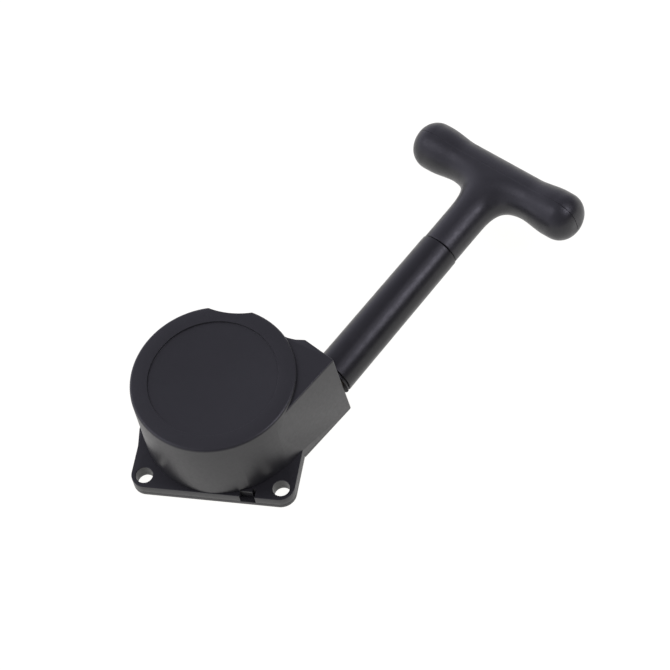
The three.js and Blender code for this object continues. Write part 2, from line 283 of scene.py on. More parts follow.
def step(tree, kind, links=None, values=None, **settings):
    # one node: settings first, then plain values, then links into its inputs
    node = tree.nodes.new(kind)
    for key, value in settings.items():
        setattr(node, key, value)
    for key, value in (values or {}).items():
        node.inputs[key].default_value = value
    for key, source in (links or {}).items():
        tree.links.new(source, node.inputs[key])
    return node


def calc(tree, operation, a, b=None, c=None):
    node = tree.nodes.new("ShaderNodeMath")
    node.operation = operation
    for slot, value in enumerate((a, b, c)):
        if value is None:
            continue
        if isinstance(value, (int, float)):
            node.inputs[slot].default_value = value
        else:
            tree.links.new(value, node.inputs[slot])
    return node.outputs[0]


def vectorCalc(tree, operation, links, output=0):
    return step(tree, "ShaderNodeVectorMath", links, operation=operation).outputs[output]


def remap(tree, value, low, high, fromLow=0.3, fromHigh=0.7):
    node = tree.nodes.new("ShaderNodeMapRange")
    node.inputs["From Min"].default_value = fromLow
    node.inputs["From Max"].default_value = fromHigh
    node.inputs["To Min"].default_value = low
    node.inputs["To Max"].default_value = high
    tree.links.new(value, node.inputs["Value"])
    return node.outputs["Result"]


def blendColours(tree, factor, first, second):
    node = tree.nodes.new("ShaderNodeMix")
    node.data_type = "RGBA"
    node.inputs["A"].default_value = (*first, 1)
    node.inputs["B"].default_value = (*second, 1)
    tree.links.new(factor, node.inputs["Factor"])
    return node.outputs["Result"]


def bumpFrom(tree, height, distance, strength=1.0, below=None):
    node = tree.nodes.new("ShaderNodeBump")
    node.inputs["Distance"].default_value = distance
    node.inputs["Strength"].default_value = strength
    tree.links.new(height, node.inputs["Height"])
    if below is not None:
        tree.links.new(below, node.inputs["Normal"])
    return node.outputs["Normal"]


def mouldedPlastic(name, dark, light, roughLow, roughHigh, grainSize, grainDepth, specular=0.5, flow=140):
    # spark-eroded mould texture: fine grain, slow sheen changes, faint flow marks
    material, tree, shader = blankMaterial(name)
    grain = noise(tree, 1 / grainSize, 2.0)
    slow = noise(tree, flow, 3.0)
    fleck = noise(tree, 1 / (grainSize * 4), 2.0)
    tree.links.new(blendColours(tree, remap(tree, slow, 0, 1), dark, light), shader.inputs["Base Color"])
    tree.links.new(remap(tree, fleck, roughLow, roughHigh), shader.inputs["Roughness"])
    wide = bumpFrom(tree, slow, grainDepth * 4, 0.1)
    tree.links.new(bumpFrom(tree, grain, grainDepth, 1.0, wide), shader.inputs["Normal"])
    shader.inputs["Specular IOR Level"].default_value = specular
    return material


def metal(name, dark, light, roughLow, roughHigh, stretch, depth=2e-6, scale=900):
    # drawn or turned metal: fine lines along one direction
    material, tree, shader = blankMaterial(name)
    lines = noise(tree, scale, 4.0, 0.6, stretch)
    cloud = noise(tree, 260, 3.0)
    tree.links.new(blendColours(tree, remap(tree, cloud, 0, 1), dark, light), shader.inputs["Base Color"])
    tree.links.new(remap(tree, lines, roughLow, roughHigh), shader.inputs["Roughness"])
    tree.links.new(bumpFrom(tree, lines, depth, 0.7), shader.inputs["Normal"])
    shader.inputs["Metallic"].default_value = 1.0
    return material


def fibre(name, dark, light, threadSize):
    # nylon cord: soft threads with a little dirt between them
    material, tree, shader = blankMaterial(name)
    thread = noise(tree, 1 / threadSize, 2.0)
    cloud = noise(tree, 300, 3.0)
    tree.links.new(blendColours(tree, remap(tree, cloud, 0, 1), dark, light), shader.inputs["Base Color"])
    tree.links.new(remap(tree, thread, 0.7, 0.95), shader.inputs["Roughness"])
    tree.links.new(bumpFrom(tree, thread, 1.5e-5, 0.8), shader.inputs["Normal"])
    shader.inputs["Sheen Weight"].default_value = 0.25
    return material


casePlastic = mouldedPlastic("case plastic", (0.0130, 0.0128, 0.0136), (0.0150, 0.0148, 0.0157),
                             0.37, 0.43, 0.00020, 5e-6)
tubePlastic = mouldedPlastic("tube plastic", (0.0125, 0.0123, 0.0131), (0.0155, 0.0152, 0.0162),
                             0.29, 0.39, 0.00034, 5e-6, specular=0.36, flow=90)
gripPlastic = mouldedPlastic("grip plastic", (0.0190, 0.0187, 0.0201), (0.0240, 0.0236, 0.0254),
                             0.30, 0.42, 0.00036, 1.5e-5, specular=0.38, flow=90)
pulleyNylon = mouldedPlastic("pulley nylon", (0.62, 0.60, 0.55), (0.72, 0.70, 0.65),
                             0.42, 0.55, 0.00025, 5e-6)
cageNylon = mouldedPlastic("cage nylon", (0.03, 0.12, 0.055), (0.04, 0.15, 0.07),
                           0.4, 0.5, 0.00015, 3e-6)
turnedSteel = metal("turned steel", (0.52, 0.53, 0.55), (0.62, 0.63, 0.65), 0.22, 0.38, (1, 1, 6))
bluedSteel = metal("blued spring steel", (0.20, 0.24, 0.31), (0.30, 0.34, 0.40), 0.25, 0.42, (1, 1, 8))
eyeletBrass = metal("eyelet brass", (0.70, 0.50, 0.22), (0.80, 0.62, 0.32), 0.2, 0.35, (1, 1, 1))
nylonCord = fibre("nylon cord", (0.62, 0.60, 0.54), (0.78, 0.76, 0.70), 0.00018)
print("materials ready")


def direction(heading, height):
    # a unit vector, from a heading about Z and a height above the floor in degrees
    heading, height = math.radians(heading), math.radians(height)
    level = math.cos(height)
    return Vector((math.cos(heading) * level, math.sin(heading) * level, math.sin(height)))


camera = dict(target=(19.06, 18.53, 8.0), distance=655.2, heading=112.3, elevation=57.29,
              roll=-14.1, lens=180.13)


def makeCamera(s):
    forward = direction(s["heading"], -s["elevation"])
    eye = (Vector(s["target"]) - forward * s["distance"]) * mm
    data = bpy.data.cameras.new("camera")
    data.lens = s["lens"]
    data.sensor_width = 36
    data.clip_start = 0.01
    data.clip_end = 20
    view = bpy.data.objects.new("camera", data)
    roll = Matrix.Rotation(math.radians(s["roll"]), 3, "Z").to_quaternion()
    view.rotation_mode = "QUATERNION"
    view.rotation_quaternion = forward.to_track_quat("-Z", "Y") @ roll
    view.location = eye
    bpy.context.scene.collection.objects.link(view)
    bpy.context.scene.camera = view
    return view


studio = dict(zenith=0.44, horizon=0.98, skyColour=(0.96, 0.94, 1.14),
              brightSide=168, dimGain=0.05, brightGain=1.5,
              floorSize=3.0, floorGap=0.0003, floorColour=(0.12, 0.12, 0.118),
              floorGlow=0.98, glowColour=(1.0, 0.99, 0.97),
              lampColour=(0.97, 0.94, 1.12), lampDistance=0.9)
lamps = dict(right=dict(heading=-4, height=43, size=0.40, power=2.0),
             left=dict(heading=192, height=50, size=0.55, power=1.1),
             top=dict(heading=8, height=60, size=0.6, power=1.1))


def makeLamp(name, s, colour, distance):
    data = bpy.data.lights.new(name, "AREA")
    data.shape = "DISK"
    data.size = s["size"]
    data.energy = s["power"]
    data.color = colour
    away = direction(s["heading"], s["height"])
    lamp = bpy.data.objects.new(name, data)
    lamp.location = away * distance + Vector(camera["target"]) * mm
    lamp.rotation_mode = "QUATERNION"
    lamp.rotation_quaternion = (-away).to_track_quat("-Z", "Y")
    bpy.context.scene.collection.objects.link(lamp)


def makeRoom(s):
    # a soft sky that darkens overhead and is paler on one side
    world = bpy.data.worlds.new("soft room")
    world.use_nodes = True
    tree = world.node_tree
    where = tree.nodes.new("ShaderNodeTexCoord").outputs["Generated"]
    height = tree.nodes.new("ShaderNodeSeparateXYZ")
    tree.links.new(where, height.inputs[0])
    sky = remap(tree, height.outputs["Z"], s["horizon"], s["zenith"], 0.0, 0.8)
    facing = tree.nodes.new("ShaderNodeVectorMath")
    facing.operation = "DOT_PRODUCT"
    tree.links.new(where, facing.inputs[0])
    facing.inputs[1].default_value = direction(s["brightSide"], 0)
    side = remap(tree, facing.outputs["Value"], s["dimGain"], s["brightGain"], -1.0, 1.0)
    background = tree.nodes["Background"]
    tree.links.new(calc(tree, "MULTIPLY", sky, side), background.inputs["Strength"])
    background.inputs["Color"].default_value = (*s["skyColour"], 1)
    bpy.context.scene.world = world


def makeFloor(s):
    # a light table just under the part
    half, ground = s["floorSize"] / 2, -s["floorGap"]
    floor = meshObject("floor", [(-half, -half, ground), (half, -half, ground), (half, half, ground),
                                 (-half, half, ground)], [(0, 1, 2, 3)])
    material, tree, shader = blankMaterial("light table")
    shader.inputs["Base Color"].default_value = (*s["floorColour"], 1)
    shader.inputs["Roughness"].default_value = 0.9
    shader.inputs["Specular IOR Level"].default_value = 0.1
    shader.inputs["Emission Color"].default_value = (*s["glowColour"], 1)
    shader.inputs["Emission Strength"].default_value = s["floorGlow"]
    floor.data.materials.append(material)


def makeStudio(s):
    bpy.context.scene.view_settings.view_transform = "Standard"
    makeRoom(s)
    makeFloor(s)
    for name, lamp in lamps.items():
        makeLamp(name + " lamp", lamp, s["lampColour"], s["lampDistance"])


makeCamera(camera)
makeStudio(studio)
print("camera and studio ready")


# Geometry Nodes trees for what repeats or follows a path
def newTree(name, sockets):
    tree = bpy.data.node_groups.new(name, "GeometryNodeTree")
    tree.interface.new_socket("Geometry", in_out="OUTPUT", socket_type="NodeSocketGeometry")
    tree.interface.new_socket("Geometry", in_out="INPUT", socket_type="NodeSocketGeometry")
    for label, kind in sockets:
        tree.interface.new_socket(label, in_out="INPUT", socket_type="NodeSocket" + kind)
    return tree, tree.nodes.new("NodeGroupInput"), tree.nodes.new("NodeGroupOutput")


def closeTree(tree, geometry, material, output):
    real = step(tree, "GeometryNodeRealizeInstances", {"Geometry": geometry})
    coloured = step(tree, "GeometryNodeSetMaterial", {"Geometry": real.outputs[0], "Material": material})
    tree.links.new(coloured.outputs[0], output.inputs[0])


def runTree(thing, tree, values):
    nodes = thing.modifiers.new(tree.name, "NODES")
    nodes.node_group = tree
    labels = {s.name: s.identifier for s in tree.interface.items_tree if s.in_out == "INPUT"}
    for label, value in values.items():
        nodes[labels[label]] = value
    return bakeModifiers(thing)


def makeRingTree():
    # copies of one shape, evenly spaced about Z
    tree, given, output = newTree("evenly around the axis", [
        ("Count", "Int"), ("First Angle", "Float"), ("Material", "Material")])
    points = step(tree, "GeometryNodePoints", {"Count": given.outputs["Count"]})
    index = step(tree, "GeometryNodeInputIndex").outputs[0]
    pitch = calc(tree, "DIVIDE", 2 * pi, given.outputs["Count"])
    angle = calc(tree, "MULTIPLY_ADD", index, pitch, given.outputs["First Angle"])
    turn = step(tree, "ShaderNodeCombineXYZ", {"Z": angle})
    copies = step(tree, "GeometryNodeInstanceOnPoints", {
        "Points": points.outputs[0], "Instance": given.outputs["Geometry"], "Rotation": turn.outputs[0]})
    closeTree(tree, copies.outputs[0], given.outputs["Material"], output)
    return tree


def makeCordTree():
    # a braid: strands wind both ways round a core and pass over and under each other
    tree, given, output = newTree("braided cord", [
        ("Strands", "Int"), ("Lay Length", "Float"), ("Braid Radius", "Float"), ("Strand Radius", "Float"),
        ("Strand Sides", "Int"), ("Weave", "Float"), ("Core Radius", "Float"), ("Core Sides", "Int"),
        ("Steps Per Lay", "Int"), ("Material", "Material")])
    path = step(tree, "GeometryNodeMeshToCurve", {"Mesh": given.outputs["Geometry"]})
    spacing = calc(tree, "DIVIDE", given.outputs["Lay Length"], given.outputs["Steps Per Lay"])
    even = step(tree, "GeometryNodeResampleCurve", {
        "Curve": path.outputs[0], "Length": spacing}, mode="LENGTH")
    many = step(tree, "GeometryNodeDuplicateElements", {
        "Geometry": even.outputs[0], "Amount": given.outputs["Strands"]}, domain="SPLINE")
    number = many.outputs["Duplicate Index"]
    length = step(tree, "GeometryNodeSplineParameter").outputs["Length"]
    phase = calc(tree, "DIVIDE", calc(tree, "MULTIPLY", length, 2 * pi), given.outputs["Lay Length"])
    way = calc(tree, "MULTIPLY_ADD", calc(tree, "FLOORED_MODULO", number, 2.0), 2.0, -1.0)
    pair = calc(tree, "FLOOR", calc(tree, "DIVIDE", number, 2.0))
    gap = calc(tree, "DIVIDE", 4 * pi, given.outputs["Strands"])
    theta = calc(tree, "MULTIPLY_ADD", pair, gap, calc(tree, "MULTIPLY", way, phase))
    half = calc(tree, "MULTIPLY", given.outputs["Strands"], 0.5)
    wave = calc(tree, "MULTIPLY", way, calc(tree, "COSINE", calc(tree, "MULTIPLY", phase, half)))
    reach = calc(tree, "MULTIPLY_ADD", wave, given.outputs["Weave"], given.outputs["Braid Radius"])
    normal = step(tree, "GeometryNodeInputNormal").outputs[0]
    tangent = step(tree, "GeometryNodeInputTangent").outputs[0]
    side = vectorCalc(tree, "CROSS_PRODUCT", {0: tangent, 1: normal})
    outX = vectorCalc(tree, "SCALE", {
        0: normal, "Scale": calc(tree, "MULTIPLY", reach, calc(tree, "COSINE", theta))})
    outY = vectorCalc(tree, "SCALE", {
        0: side, "Scale": calc(tree, "MULTIPLY", reach, calc(tree, "SINE", theta))})
    offset = vectorCalc(tree, "ADD", {0: outX, 1: outY})
    wound = step(tree, "GeometryNodeSetPosition", {"Geometry": many.outputs["Geometry"], "Offset": offset})

    def sweep(path, radius, sides):
        ring = step(tree, "GeometryNodeCurvePrimitiveCircle", {"Radius": radius, "Resolution": sides})
        return step(tree, "GeometryNodeCurveToMesh", {
            "Curve": path.outputs[0], "Profile Curve": ring.outputs[0]}, {"Fill Caps": True})

    strands = sweep(wound, given.outputs["Strand Radius"], given.outputs["Strand Sides"])
    core = sweep(even, given.outputs["Core Radius"], given.outputs["Core Sides"])
    both = step(tree, "GeometryNodeJoinGeometry")
    tree.links.new(strands.outputs[0], both.inputs[0])
    tree.links.new(core.outputs[0], both.inputs[0])
    closeTree(tree, both.outputs[0], given.outputs["Material"], output)
    return tree


def makeStripTree():
    # a flat strip swept along a spiral that closes in turn by turn
    tree, given, output = newTree("wound strip", [
        ("Turns", "Float"), ("Inner Radius", "Float"), ("Outer Radius", "Float"), ("Start Angle", "Float"),
        ("Steps", "Int"), ("Thickness", "Float"), ("Width", "Float"), ("Inner Hook", "Float"),
        ("Outer Hook", "Float"), ("Material", "Material")])
    line = step(tree, "GeometryNodeMeshLine", {"Count": given.outputs["Steps"]})
    curve = step(tree, "GeometryNodeMeshToCurve", {"Mesh": line.outputs[0]})
    index = step(tree, "GeometryNodeInputIndex").outputs[0]
    last = calc(tree, "SUBTRACT", given.outputs["Steps"], 1.0)
    share = calc(tree, "DIVIDE", calc(tree, "SUBTRACT", index, 1.0), calc(tree, "SUBTRACT", last, 2.0))
    held = step(tree, "ShaderNodeClamp", {"Value": share}).outputs[0]
    width = calc(tree, "SUBTRACT", given.outputs["Outer Radius"], given.outputs["Inner Radius"])
    plain = calc(tree, "MULTIPLY_ADD", held, width, given.outputs["Inner Radius"])
    isFirst = calc(tree, "LESS_THAN", index, 0.5)
    isLast = calc(tree, "GREATER_THAN", index, calc(tree, "SUBTRACT", last, 0.5))
    reach = calc(tree, "MULTIPLY_ADD", isFirst, given.outputs["Inner Hook"], plain)
    reach = calc(tree, "MULTIPLY_ADD", isLast, given.outputs["Outer Hook"], reach)
    sweep = calc(tree, "MULTIPLY", calc(tree, "MULTIPLY", held, given.outputs["Turns"]), -2 * pi)
    angle = calc(tree, "ADD", sweep, given.outputs["Start Angle"])
    spot = step(tree, "ShaderNodeCombineXYZ", {
        "X": calc(tree, "MULTIPLY", reach, calc(tree, "COSINE", angle)),
        "Y": calc(tree, "MULTIPLY", reach, calc(tree, "SINE", angle))})
    spiral = step(tree, "GeometryNodeSetPosition", {
        "Geometry": curve.outputs[0], "Position": spot.outputs[0]})
    flat = step(tree, "GeometryNodeSetCurveNormal", {"Curve": spiral.outputs[0]}, mode="Z_UP")
    strip = step(tree, "GeometryNodeCurvePrimitiveQuadrilateral", {
        "Width": given.outputs["Thickness"], "Height": given.outputs["Width"]})
    swept = step(tree, "GeometryNodeCurveToMesh", {
        "Curve": flat.outputs[0], "Profile Curve": strip.outputs[0]}, {"Fill Caps": True})
    closeTree(tree, swept.outputs[0], given.outputs["Material"], output)
    return tree


flange = dict(half=16.3, corner=3.0, low=1.0, top=3.0, footRim=0.03, rim=0.1,
              holePitch=27.3, holeRadius=1.7, holeEdge=0.08, lugDrop=0.005,
              lug=[(-16.0, 7.6), (-16.3, 7.4), (-16.8, 3.6, 1.5), (-16.8, -3.6, 1.5), (-16.3, -7.4),
                   (-16.0, -7.6)])
case = dict(foot=16.19, top=16.2, height=19.3, edge=0.55, recess=12.75, recessDepth=0.36, recessSlope=0.1,
            pulleyRoom=14.2, springRoom=13.6, springFloor=9.85, ceiling=17.5,
            post=2.5, postFoot=10.35, screwHole=1.15, screwDepth=5.0, anchorSlot=1.0, anchorDepth=1.4,
            scallopRadius=15.7, scallopReach=15.0, scallopShift=0.6, scallopRim=0.45)
# outlines of the arm are given along and across the rope's direction, with the radius of a rounded corner
arm = dict(top=18.4, rim=0.2, rimDrop=0.5, footRim=0.15,
           foot=[(-4.5, 15.5), (-0.5, 16.6), (17.75, 16.85, 0.45), (18.05, 8.1, 0.45), (16.8, 6.4),
                 (16.1, 4.9), (15.5, 3.2), (10, 3)],
           head=[(-4.5, 15.2), (-0.5, 16.05), (17.0, 16.1, 0.45), (17.3, 8.6, 0.45), (16.25, 6.95),
                 (15.75, 5.6), (15.3, 3.6), (10, 3)],
           pocket=[(-2, 12), (1, 14.4), (13.4, 14.5), (13.4, 10.2), (11.8, 8), (6, 8)],
           pocketLow=1.2, pocketHigh=16.4, pocketWall=15.0)
hooks = dict(left=5.85, right=8.2, notchLeft=5.8, notchRight=8.85, depth=1.9,
             turns=(0, 2))  # quarter turns: the front edge and the back edge
eyelet = dict(bore=1.4, body=2.4, flange=3.1, length=3.7, seat=0.75, gap=0.1, face=-0.15)


def roundedSquare(half, corner):
    return filletCorners([(half, -half, corner), (half, half, corner), (-half, half, corner),
                          (-half, -half, corner)], steps=16)


def holePins(s, low, high):
    # a pin for each of the four bolt holes, with a small bevel at both faces
    pins = []
    reach, r, edge = s["holePitch"] / 2, s["holeRadius"], s["holeEdge"]
    for x in (-reach, reach):
        for y in (-reach, reach):
            pin = turned("pin", [
                (0, low - 1), (r + edge, low - 1), (r + edge, low), (r, low + edge), (r, high - edge),
                (r + edge, high), (r + edge, high + 1), (0, high + 1)], 64)
            pins.append(place(pin, Matrix.Translation((x, y, 0))))
    return pins


def onHookedEdges(make):
    return [place(make(), Matrix.Rotation(turn * pi / 2, 4, "Z")) for turn in hooks["turns"]]


def makeCaseBody(c, f):
    low, floor = f["low"] + 0.4, c["height"] - c["recessDepth"]
    return turned("housing", [
        (0, low), (c["foot"] - 0.5, low), (c["foot"], f["top"] - 0.02), (c["top"], c["height"], c["edge"]),
        (c["recess"], c["height"], 0.04), (c["recess"] - c["recessSlope"], floor, 0.05), (0, floor)], 256)


def makeFlange(f):
    square = roundedSquare(f["half"], f["corner"])
    return slab("base", square, square, f["low"], f["top"], f["footRim"], f["rim"])


def makeLug(f):
    # a shallow swelling of the flange's left edge
    outline = filletCorners(f["lug"])
    return slab("lug", outline, outline, f["low"], f["top"] - f["lugDrop"], f["footRim"], f["rim"])


def makeArm(a, f):
    body = slab("arm", filletCorners(a["foot"])[::-1], filletCorners(a["head"])[::-1], 0, a["top"],
                a["footRim"], a["rim"], a["rimDrop"])
    place(body, armFrame)
    reach = f["half"] + 0.1
    return cut(body, block(-reach, reach, -reach, reach, -1, f["low"]))


def makeScallop(c, f):
    # the hollow in the back of the case, as deep as the flange's top
    r, rim = c["scallopRadius"], c["height"] - c["scallopRim"]
    foot, over = f["top"] + 0.01, c["height"] + 0.6
    tool = turned("scallop", [(0, foot), (r, foot), (r, rim, 0.3), (r + 0.7, over), (0, over)], 256)
    return place(tool, Matrix.Translation((c["scallopShift"], c["scallopReach"] + r, 0)))


def makeRoomForPulley(c, f):
    # room for the pulley below and for the spring above, round a post for the screw
    low, r = f["low"], c["pulleyRoom"]
    hole = c["postFoot"] + c["screwDepth"]
    return turned("room", [
        (0, low - 1), (r + 0.2, low - 1), (r + 0.2, low), (r, low + 0.2), (r, c["springFloor"]),
        (c["springRoom"], c["springFloor"]), (c["springRoom"], c["ceiling"], 0.5),
        (c["post"], c["ceiling"], 0.4), (c["post"], c["postFoot"], 0.1), (c["screwHole"], c["postFoot"]),
        (c["screwHole"], hole), (0, hole)], 160)


def makeAnchorSlot(c):
    half = c["anchorSlot"] / 2
    slot = block(c["springRoom"] - 1, c["springRoom"] + c["anchorDepth"], -half, half,
                 c["springFloor"] - 0.01, c["ceiling"])
    return place(slot, Matrix.Rotation(spring["anchor"], 4, "Z"))


def makeArmPocket(a, c):
    outline = a["pocket"][::-1]
    pocket = slab("pocket", outline, outline, a["pocketLow"], a["pocketHigh"], 0.01, 0.01, 1)
    place(pocket, armFrame)
    return cut(pocket, rod(a["pocketWall"], c["springFloor"], c["ceiling"] + 1, 160))


def makeRopeBore(e):
    # the seat of the eyelet, open wide towards the tube
    body, rim, back = e["body"] + e["gap"], e["flange"] + e["gap"], -e["length"] - e["gap"]
    seat = -e["seat"] - e["gap"]
    tool = turned("bore", [
        (0, -e["length"] - 1.5), (e["body"] - 0.4, -e["length"] - 1.5), (e["body"] - 0.4, back),
        (body, back), (body, seat), (rim, seat), (rim, -0.1), (rim + 2, 2.0), (0, 2)], 96)
    return place(tool, ropeFrame)


def makeNotch(f, h):
    edge = -f["half"]
    return block(h["notchLeft"], h["notchRight"], edge - 1, edge + h["depth"], f["low"] - 1, f["top"] + 0.5)


def makeHousing():
    body = makeCaseBody(case, flange)
    add(body, makeFlange(flange), makeLug(flange), makeArm(arm, flange))
    cut(body, makeScallop(case, flange))
    cut(body, makeRoomForPulley(case, flange), makeAnchorSlot(case), makeArmPocket(arm, case),
        makeRopeBore(eyelet))
    cut(body, *onHookedEdges(lambda: makeNotch(flange, hooks)))
    cut(body, *holePins(flange, flange["low"] - 1, flange["top"]))
    return finishPiece(body, "housing_shell", "case", ["housing"], casePlastic)


plate = dict(thickness=0.95, opening=8.6, footRim=0.12, topRim=0.04, legSetBack=1.25, legThickness=0.7,
             nib=0.12, nibHeight=0.4, overFlange=0.1)


def makeHook(f, p, h):
    # seen from the side: a leg with a small nib that snaps over the flange
    outer = -f["half"] + p["legSetBack"]
    inner = outer + p["legThickness"]
    root, top = p["thickness"] - 0.3, f["top"] + p["overFlange"]
    nibFoot = top - p["nibHeight"]
    side = [(inner, root), (inner, top - 0.15), (inner - 0.15, top), (outer - 0.1, top),
            (outer - p["nib"], top - p["nibHeight"] * 0.55), (outer - p["nib"], nibFoot),
            (outer, nibFoot - 0.1), (outer, root)]
    return stacked("hook", [[(x, y, z) for y, z in side] for x in (h["left"], h["right"])])


def makePlate(f, p, h):
    square = roundedSquare(f["half"], f["corner"])
    sheet = slab("plate", square, square, 0, p["thickness"], p["footRim"], p["topRim"])
    add(sheet, *onHookedEdges(lambda: makeHook(f, p, h)))
    r = p["opening"]
    mouth = turned("mouth", [(0, -1), (r + 0.5, -1), (r + 0.5, 0), (r, 0.35), (r, 2), (0, 2)], 160)
    cut(sheet, mouth, *holePins(f, 0, p["thickness"] + 1))
    return finishPiece(sheet, "cover_plate", "case", ["retainer_plate"], casePlastic)


tube = dict(start=0.6, end=34.8, footRadius=4.24, endRadius=4.04, bead=0.04, bore=1.7, mouth=0.9,
            neck=3.7, neckStart=0.85, neckEnd=1.3, spigot=2.9, spigotEnd=40.8)
grip = dict(start=35.0, stem=3.88, endEdge=0.22, endBevel=0.12, socket=3.05, socketEnd=47.0,
            barCentre=53.7, bar=4.28, bulb=4.92, waistEnd=8.3, bulbStart=14.9, halfLength=20.15, barEdge=3.9,
            blend=7.5, stemReach=0.8, topRounding=4.0, tilt=math.radians(5), voxel=0.24, margin=1.0, relax=4,
            lineWidth=0.07, lineDepth=0.03, lineDepthAtEnds=0.08)


def makeTube(s):
    # a bead and a narrow neck at the foot, and a spigot for the grip at the far end
    bead = s["footRadius"] + s["bead"]
    body = turned("tube", [
        (s["bore"], s["start"] + 0.5, 0.3), (s["bore"] + s["mouth"], s["start"], 0.25),
        (bead, s["start"], 0.1), (bead, s["neckStart"], 0.08), (s["neck"], s["neckStart"] + 0.05),
        (s["neck"], s["neckEnd"]), (s["footRadius"], s["neckEnd"] + 0.05, 0.1),
        (s["endRadius"], s["end"], 0.12), (s["spigot"], s["end"]), (s["spigot"], s["spigotEnd"], 0.3),
        (s["bore"], s["spigotEnd"], 0.2)], 128)
    place(body, ropeFrame)
    return finishPiece(body, "guide_tube", "handle", ["handle_tube"], tubePlastic, 40)


def vectorLength(tree, *parts):
    joined = step(tree, "ShaderNodeCombineXYZ")
    for slot, part in enumerate(parts):
        tree.links.new(part, joined.inputs[slot])
    return vectorCalc(tree, "LENGTH", {0: joined.outputs[0]}, "Value")


def makeGripTree():
    # one skin over bar and stem: a smooth minimum of their distances rounds the corner between them
    tree, given, output = newTree("bar and stem in one skin", [
        ("Bar Radius", "Float"), ("Bulb Radius", "Float"), ("Waist End", "Float"), ("Bulb Start", "Float"),
        ("Half Length", "Float"), ("End Edge", "Float"), ("Bar Centre", "Float"), ("Stem Radius", "Float"),
        ("Stem Start", "Float"), ("Stem Top", "Float"), ("Top Rounding", "Float"), ("Blend", "Float"),
        ("Voxel", "Float"), ("Margin", "Float"), ("Material", "Material")])
    get = given.outputs
    spot = step(tree, "GeometryNodeInputPosition").outputs[0]
    axes = step(tree, "ShaderNodeSeparateXYZ", {0: spot}).outputs
    across = calc(tree, "ABSOLUTE", axes[0])
    height = calc(tree, "SUBTRACT", axes[2], get["Bar Centre"])
    bulge = step(tree, "ShaderNodeMapRange", {
        "Value": across, "From Min": get["Waist End"], "From Max": get["Bulb Start"],
        "To Min": get["Bar Radius"], "To Max": get["Bulb Radius"]},
        interpolation_type="SMOOTHSTEP").outputs[0]
    nothing = calc(tree, "MULTIPLY", across, 0.0)
    out = calc(tree, "SUBTRACT", vectorLength(tree, nothing, axes[1], height),
               calc(tree, "SUBTRACT", bulge, get["End Edge"]))
    end = calc(tree, "SUBTRACT", across, calc(tree, "SUBTRACT", get["Half Length"], get["End Edge"]))
    pastOut, pastEnd = calc(tree, "MAXIMUM", out, 0.0), calc(tree, "MAXIMUM", end, 0.0)
    corner = vectorLength(tree, pastOut, pastEnd, nothing)
    inside = calc(tree, "MINIMUM", calc(tree, "MAXIMUM", out, end), 0.0)
    bar = calc(tree, "SUBTRACT", calc(tree, "ADD", corner, inside), get["End Edge"])
    shank = calc(tree, "SUBTRACT", vectorLength(tree, axes[0], axes[1], nothing), get["Stem Radius"])
    overTop = calc(tree, "SUBTRACT", axes[2], get["Stem Top"])
    stem = calc(tree, "SMOOTH_MAX", shank, overTop, get["Top Rounding"])
    stem = calc(tree, "MAXIMUM", stem, calc(tree, "SUBTRACT", get["Stem Start"], axes[2]))
    both = calc(tree, "SMOOTH_MIN", bar, stem, get["Blend"])
    reach = calc(tree, "ADD", get["Half Length"], get["Margin"])
    thick = calc(tree, "ADD", get["Bulb Radius"], get["Margin"])
    top = calc(tree, "ADD", get["Bar Centre"], thick)
    foot = calc(tree, "SUBTRACT", get["Stem Start"], get["Margin"])
    low = step(tree, "ShaderNodeCombineXYZ", {
        "X": calc(tree, "MULTIPLY", reach, -1.0), "Y": calc(tree, "MULTIPLY", thick, -1.0), "Z": foot})
    high = step(tree, "ShaderNodeCombineXYZ", {"X": reach, "Y": thick, "Z": top})

    def cells(size):
        return calc(tree, "CEIL", calc(tree, "DIVIDE", size, get["Voxel"]))

    solid = step(tree, "GeometryNodeVolumeCube", {
        "Density": calc(tree, "MULTIPLY", both, -1.0), "Min": low.outputs[0], "Max": high.outputs[0],
        "Resolution X": cells(calc(tree, "MULTIPLY", reach, 2.0)),
        "Resolution Y": cells(calc(tree, "MULTIPLY", thick, 2.0)),
        "Resolution Z": cells(calc(tree, "SUBTRACT", top, foot))}, {"Background": -1.0})
    skin = step(tree, "GeometryNodeVolumeToMesh", {"Volume": solid.outputs[0]}, {"Threshold": 0.0})
    closeTree(tree, skin.outputs[0], get["Material"], output)
    return tree


def makeGrip(s):
    body = meshObject("grip", [(0, 0, 0)], [])
    runTree(body, makeGripTree(), {
        "Bar Radius": s["bar"], "Bulb Radius": s["bulb"],
        "Waist End": s["waistEnd"], "Bulb Start": s["bulbStart"],
        "Half Length": s["halfLength"], "End Edge": s["barEdge"], "Bar Centre": s["barCentre"],
        "Stem Radius": s["stem"], "Stem Start": s["start"] - 1.5,
        "Stem Top": s["barCentre"] - s["bar"] * s["stemReach"], "Top Rounding": s["topRounding"],
        "Blend": s["blend"], "Voxel": s["voxel"], "Margin": s["margin"], "Material": gripPlastic})
    relax = body.modifiers.new("relax", "SMOOTH")
    relax.factor = 0.5
    relax.iterations = s["relax"]
    return bakeModifiers(body)


def partingLine(body, s):
    # the two mould halves meet in the plane through the bar, square to the stem
    work = bmesh.new()
    work.from_mesh(body.data)
    for offset in (-s["lineWidth"], 0.0, s["lineWidth"]):
        geometry = list(work.verts) + list(work.edges) + list(work.faces)
        bmesh.ops.bisect_plane(work, geom=geometry, plane_co=(0, 0, s["barCentre"] + offset),
                               plane_no=(0, 0, 1), dist=1e-5)
    work.normal_update()
    for v in work.verts:
        if abs(v.co.z - s["barCentre"]) < 0.02:
            atEnd = (v.co.x / s["halfLength"]) ** 4
            v.co -= v.normal * (s["lineDepth"] + s["lineDepthAtEnds"] * atEnd)
    work.to_mesh(body.data)
    work.free()
    return body


